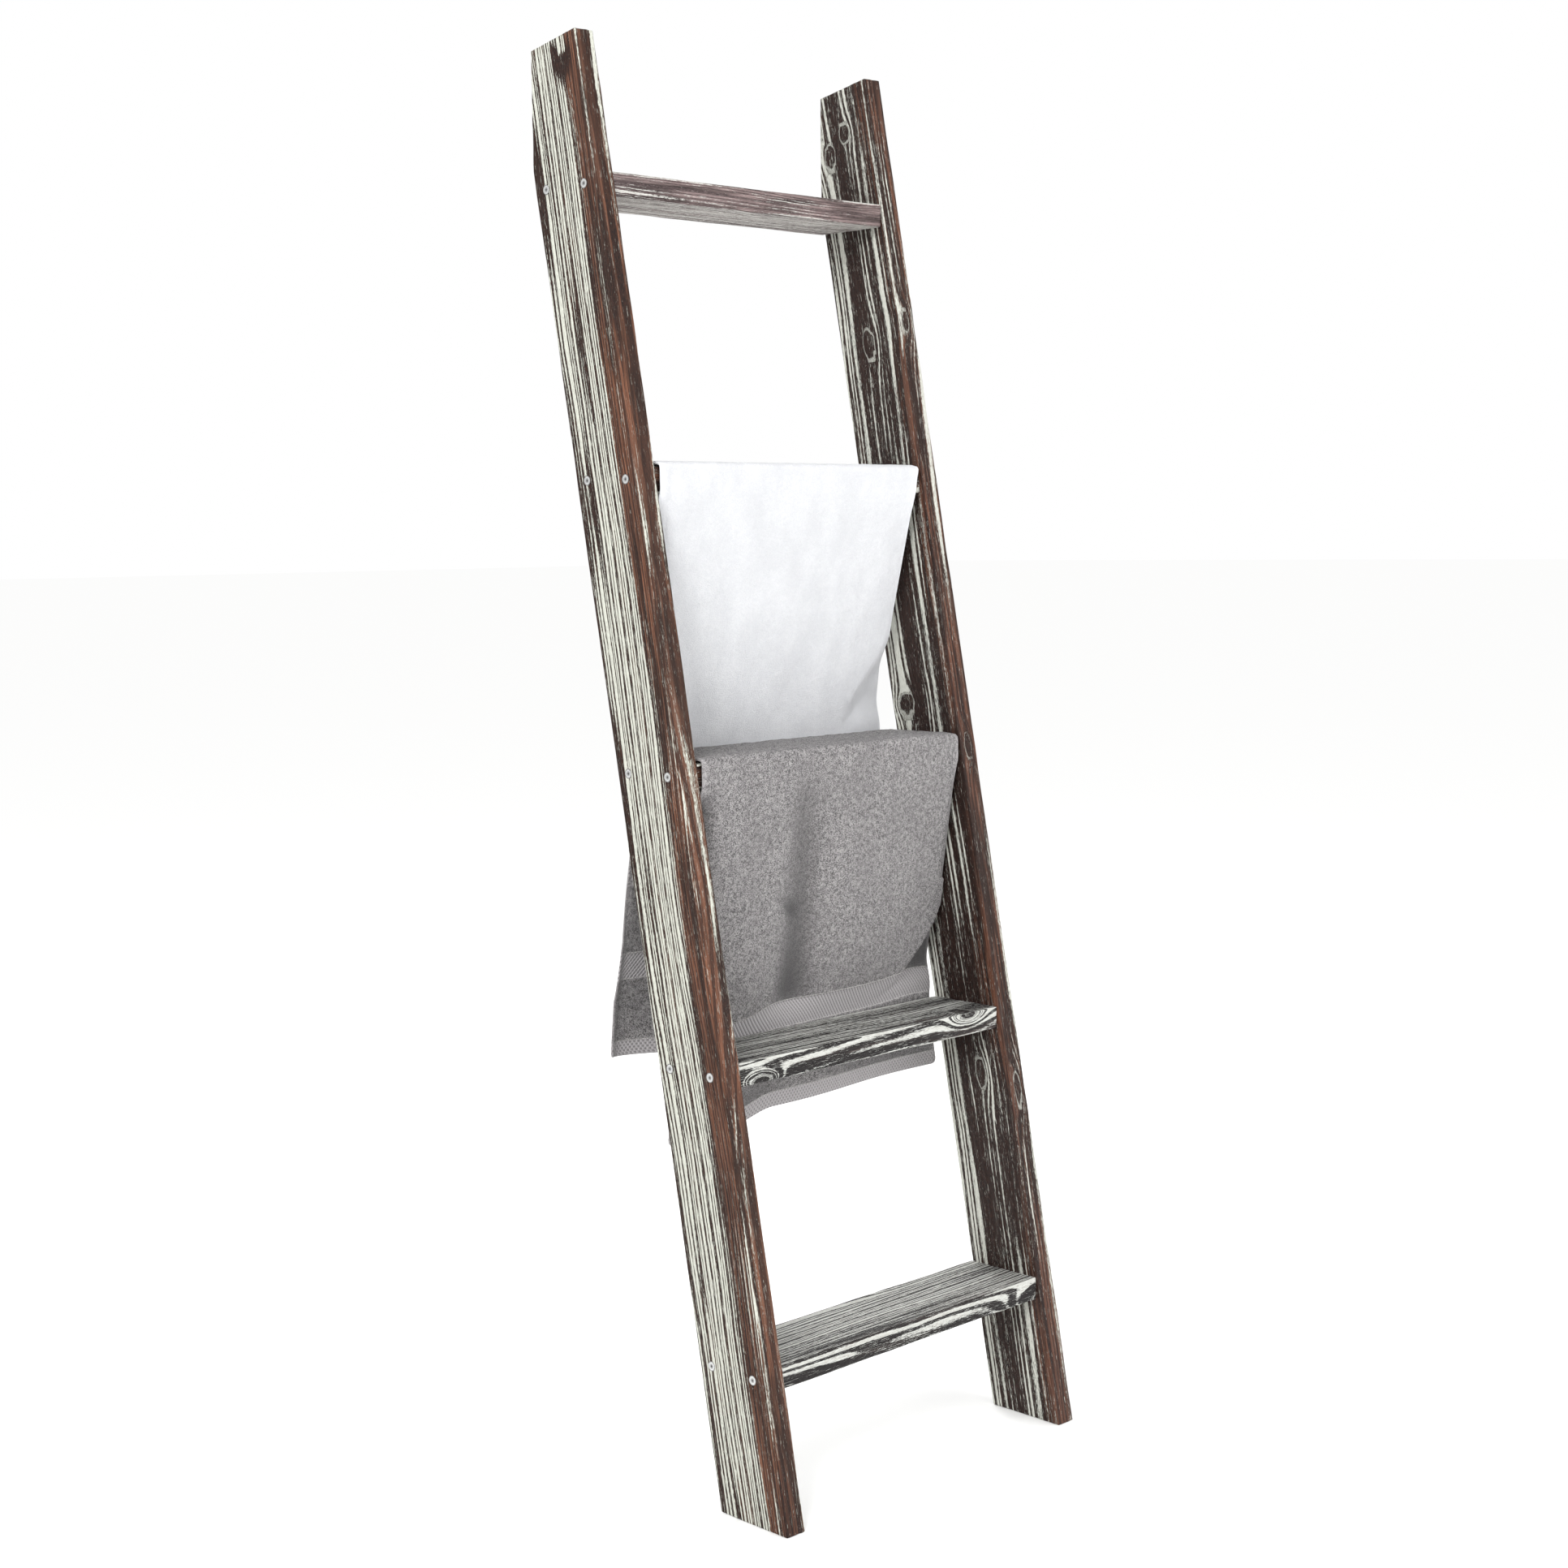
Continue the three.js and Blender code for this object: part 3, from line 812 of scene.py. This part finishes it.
def build_stitches(name, points, normals, half, rows, across):
    """Rows of small stitches, on both faces of a towel, along its hems and its bands."""
    length, thick, pitch = STITCH
    total, reach = rows[-1], across[-1] - SELVEDGE
    x = np.arange(-reach, reach, pitch)
    column = np.interp(x, across, np.arange(len(across)))
    places = []
    for edge in (HEM, *BAND):
        for s in (edge, total - edge):
            row = int(np.argmin(np.abs(rows - s)))
            j = column.astype(int)
            t = (column - j)[:, None]
            middle = points[row, j] * (1 - t) + points[row, j + 1] * t
            ahead = points[row, j + 1] - points[row, j]
            ahead /= np.linalg.norm(ahead, axis=1, keepdims=True)
            for face in (-1, 1):
                up = normals[row, j] * face
                aside = np.cross(up, ahead)
                above = middle + up * (half[row, j][:, None] + STITCH_LIFT)
                places.append((above, ahead + STITCH_SLANT * aside, up))
    centre, ahead, up = (np.concatenate(parts) for parts in zip(*places))
    aside = np.cross(up, ahead)
    rings = []
    for along, size in ((-0.5, 0.4), (0, 1), (0.5, 0.4)):
        for out, tip in ((aside, 1), (up, 1), (aside, -1), (up, -1)):
            rings.append(centre + ahead * along * length + out * tip * size * thick)
    vertices = np.stack(rings, axis=1).reshape(-1, 3)
    sides = [(r + k, r + (k + 1) % 4, r + 4 + (k + 1) % 4, r + 4 + k) for r in (0, 4) for k in range(4)]
    one = np.array([*sides, (3, 2, 1, 0), (8, 9, 10, 11)])
    quads = (one[None] + 12 * np.arange(len(centre))[:, None, None]).reshape(-1, 4)
    return add_mesh(name, vertices * MM, quads)


def lerp_z(z, table):
    """Interpolates a table of (height, value) pairs, lowest first."""
    heights, values = zip(*table)
    return np.interp(z, heights, values)


def terry_material(name, deep, tip, woven, tint):
    """Terry of small loops, with smooth woven bands ribbed by diagonal rows, and waffled hems. Its pile
    carries painted shade where folds set the cloth back.
    """
    n = Nodes(name)
    cloth = n.attribute("cloth", "Vector")
    band, hem = n.attribute("band"), n.attribute("hem")
    flat = n.math("MAXIMUM", band, hem)
    loops = n.cells(cloth, 0.95)
    curls = n.noise(cloth, 1.7, detail=3, roughness=0.75)
    tufts = n.noise(cloth, 0.22, detail=3)
    patches = n.noise(n.stretch(cloth, (0.03, 0.02, 0.03)), detail=3)
    pile = n.add(n.math("MULTIPLY_ADD", loops, -0.6, 0.6), n.scale(curls, 1.4), n.scale(tufts, 0.5))
    terry = n.mix(n.ramp(pile, 1.05, 1.5), deep, tip)
    terry = n.mix(n.ramp(patches, 0.3, 0.7, 0.0, 0.3), terry, tint)
    # Painted shade: the terry turns towards its deep colour where folds set the cloth back.
    terry = n.mix(n.scale(n.attribute("painted_fold_shade"), 0.95), terry, deep)
    parts = n.tree.nodes.new("ShaderNodeSeparateXYZ")
    n.plug(parts.inputs[0], cloth)
    x, s = parts.outputs["X"], parts.outputs["Y"]
    falling = n.math("SINE", n.scale(n.math("MULTIPLY_ADD", s, -0.8, x), 2 * math.pi / RIB))
    rising = n.math("SINE", n.scale(n.math("MULTIPLY_ADD", s, 0.8, x), 2 * math.pi / RIB))
    ribs = n.add(n.scale(falling, 0.5), n.scale(rising, 0.14))
    waffle = n.add(n.scale(falling, 0.3), n.scale(rising, 0.3))
    threads = n.noise(n.stretch(cloth, (3.2, 0.9, 1)), detail=2)
    weave = n.math("MULTIPLY_ADD", threads, 0.3, n.add(n.scale(ribs, band), n.scale(waffle, hem)))
    smooth = n.mix(n.ramp(weave, -0.6, 0.3), tint, woven)
    colour = n.mix(flat, terry, smooth)
    pile_bump = n.bump(pile, 0.0017, 0.9)
    weave_bump = n.bump(weave, 0.0009, 0.8)
    normal = n.mix(flat, pile_bump, weave_bump)
    return n.finish(Base_Color=colour, Normal=normal, Roughness=0.95, Sheen_Weight=0.25,
                    Sheen_Roughness=0.5, Specular_IOR_Level=0.2)


def thread_material(name, low, high):
    """Twisted cotton thread."""
    n = Nodes(name)
    place = n.tree.nodes.new("ShaderNodeNewGeometry").outputs["Position"]
    twist = n.noise(place, 900.0, detail=2)
    return n.finish(Base_Color=n.mix(n.ramp(twist, 0.35, 0.65), low, high), Roughness=0.85,
                    Normal=n.bump(twist, 0.0002, 0.5), Sheen_Weight=0.2)


def rung_mm(number):
    low, high = rung_boxes[number]
    return (low.y / MM, low.z / MM, high.y / MM, high.z / MM)


STEP2, STEP3, STEP4 = (rung_mm(n) for n in (2, 3, 4))
GREY_TOP = STEP3[3] + CLEAR
WHITE_TOP = STEP4[3] + CLEAR

grey_path = [(STEP3[2] + CLEAR, 412), (STEP3[2] + CLEAR, GREY_TOP), (STEP3[0] - CLEAR, GREY_TOP),
             (STEP3[0] - CLEAR, STEP3[1]), (STEP2[2] + CLEAR + 0.4, STEP2[3]), (STEP2[2] + CLEAR, 353)]
WHITE_TAIL = STEP3[2] + CLEAR + 5.7
white_path = [(STEP4[2] + CLEAR, 856), (STEP4[2] + CLEAR, WHITE_TOP), (STEP4[0] - CLEAR, WHITE_TOP),
              (STEP4[0] - CLEAR, STEP4[1]), (WHITE_TAIL, GREY_TOP + 3), (WHITE_TAIL, 483)]


def kept_off(out, z, under):
    """Folds of a front flap, kept from pressing into the edge of its rung."""
    return np.maximum(out, -0.1 - 0.5 * np.maximum(under - z, 0))


def grey_edges(z, front):
    """How far the left and right edges are from the middle, at each height."""
    back = lerp_z(z, [(412, 203), (470, 202), (530, 198), (616, 191), (650, 185), (690, 181.5)])
    fore = lerp_z(z, [(353, 194), (395, 186), (420, 181.5), (716, 181.5)])
    edge = back + (fore - back) * front
    return -edge, edge


def grey_folds(x, z, front):
    """How far out the grey towel's folds stand, and how much lower its hem hangs."""
    hang = smoothstep(GREY_TOP - 6, GREY_TOP - 60, z) * smoothstep(STEP2[3] + 2, STEP2[3] + 45, z)
    fore = furrow(x, z, [(-46, 712), (-38, 665), (-31, 600), (-30, 520), (-31, 440)], (3, 12), (13, 32))
    fore = fore + furrow(x, z, [(-98, 582), (-66, 569), (-40, 556)], (3, 4), (7, 9))
    fore = fore + mound(x, z, (-92, 520), (36, 70), 7) + mound(x, z, (62, 540), (62, 95), 8)
    crease = [(186, 556), (181, 534), (171, 513), (158, 493), (139, 470), (120, 452), (60, 436)]
    fore = fore + step_back(x, z, crease, 11, 6)
    fore = fore - 13 * smoothstep(-155, -186, x) - 3 * smoothstep(168, 182, x) * (z > 560)
    fore = kept_off(fore * hang, z, STEP3[1])
    tail = -7 * smoothstep(STEP2[3] - 8, 353, z) * (0.5 - 0.5 * np.cos(x / 38)) * front
    curl = -6 * smoothstep(-192, -203, x) * smoothstep(640, 560, z)
    out = front * (fore + tail) + (1 - front) * (grey_swing(x, z) + curl)
    low = smoothstep(GREY_TOP, 353, z) * front
    drop = low * (x / 203 * 4 - 12 * smoothstep(-50, -110, x) + 4 * mound(x, z, (150, 455), (40, 30), 1.5))
    return out, drop - 3 * (1 - front) * smoothstep(640, 412, z) * (x / 203)


def grey_swing(x, z):
    """How far the grey towel's back flap stands out behind its rung, towards the wall."""
    swing = lerp_z(z, [(412, 25), (468, 20), (490, 15), (530, 8), (616, 1), (650, 0)])
    return swing * (smoothstep(-120, -203, x) + 0.6 * smoothstep(110, 203, x) + 0.35 * np.sin(x / 34))


def white_edges(z, front):
    right = lerp_z(z, [(483, 181), (700, 170), (735, 167), (786, 164), (841, 164.5), (943, 172), (984, 178),
                       (996, 181.5)])
    left = lerp_z(z, [(483, 181), (735, 180), (996, 181.5)])
    back = lerp_z(z, [(856, 184), (996, 181.5)])
    return -(back + (left - back) * front), back + (right - back) * front


def white_folds(x, z, front):
    """How far out the white towel's folds stand, and how much lower its hem hangs."""
    hang = smoothstep(WHITE_TOP - 6, WHITE_TOP - 50, z) * smoothstep(GREY_TOP + 2, GREY_TOP + 40, z)
    crease = [(184, 870), (177, 842), (162, 823), (143, 797), (123, 771), (104, 743), (90, 715)]
    fore = step_back(x, z, crease, 9, 22) + mound(x, z, (-20, 850), (110, 90), 5)
    fore = fore + furrow(x, z, [(-95, 960), (-90, 860), (-110, 740)], (0.5, 4), (18, 24))
    fore = fore + furrow(x, z, [(20, 900), (30, 820), (20, 730)], (0.3, 3), (16, 20))
    fore = fore - 4 * smoothstep(-160, -182, x)
    seam = -0.9 * np.exp(-(((x + 170) / 1.6) ** 2))
    pushed = np.maximum(grey_swing(x, z), 0) + 3 * smoothstep(GREY_TOP, 640, z)
    wave = 3 * np.sin(x / 42) * smoothstep(960, 860, z)
    fore = kept_off(fore * hang + seam, z, STEP4[1])
    return front * (fore - pushed) + (1 - front) * wave, np.zeros_like(x)


grey_terry = terry_material("grey_terry", (0.062, 0.058, 0.059), (0.60, 0.572, 0.572), (0.37, 0.352, 0.359),
                            (0.17, 0.16, 0.163))
white_terry = terry_material("white_terry", (0.85, 0.86, 0.89), (0.95, 0.96, 0.98), (0.64, 0.65, 0.685),
                             (0.67, 0.68, 0.715))
grey_thread = thread_material("grey_thread", (0.30, 0.29, 0.285), (0.62, 0.60, 0.58))
white_thread = thread_material("white_thread", (0.70, 0.71, 0.74), (0.86, 0.87, 0.90))
GREY_RESTS = ["rung_3_wood", "rung_2_wood"]
WHITE_RESTS = ["rung_4_wood"]
TOWELS = (
    ("grey_towel", grey_path, grey_edges, grey_folds, grey_terry, 71, grey_thread, GREY_RESTS),
    ("white_towel", white_path, white_edges, white_folds, white_terry, 83, white_thread, WHITE_RESTS),
)
for body, *shape, thread, rests_on in TOWELS:
    cloth, stitches, length = build_towel(f"{body}_cloth", *shape)
    stitches.data.materials.append(thread)
    for piece in (cloth, stitches):
        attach(piece, body)
    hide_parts(body)


# ------------------------------------------------------------------------------ screws


def zinc_material():
    """Bright plated steel, dull in places, with painted shade round the rim of each head, where it sits in
    its countersink, and in the recess at its middle.
    """
    n = Nodes("zinc_screw")
    spot = n.tree.nodes.new("ShaderNodeTexCoord").outputs["Generated"]
    middle = n.stretch(spot, (0, 1, 1), (0, -0.5, -0.5))
    length = n.tree.nodes.new("ShaderNodeVectorMath")
    length.operation = "LENGTH"
    n.plug(length.inputs[0], middle)
    away = length.outputs["Value"]
    # Painted shade: a dark ring round the rim of the head, and a dark middle where the cross recess is.
    rim = n.ramp(away, 0.38, 0.49)
    recess_shade = n.ramp(away, 0.30, 0.16)
    wear = n.noise(spot, 7.0, detail=4, roughness=0.7)
    colour = n.mix(n.ramp(wear, 0.35, 0.65), (0.45, 0.45, 0.44), (0.66, 0.67, 0.67))
    # Painted shade laid over the plated colour, at the rim and in the middle.
    colour = n.mix(rim, colour, (0.16, 0.155, 0.15))
    colour = n.mix(n.scale(recess_shade, 0.55), colour, (0.12, 0.12, 0.12))
    return n.finish(Base_Color=colour, Metallic=0.8, Roughness=n.ramp(wear, 0.3, 0.7, 0.28, 0.5),
                    Normal=n.bump(wear, 0.0002, 0.4))


zinc = zinc_material()
for name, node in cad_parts.items():
    if name.startswith("screw_"):
        node.data.materials.clear()
        node.data.materials.append(zinc)
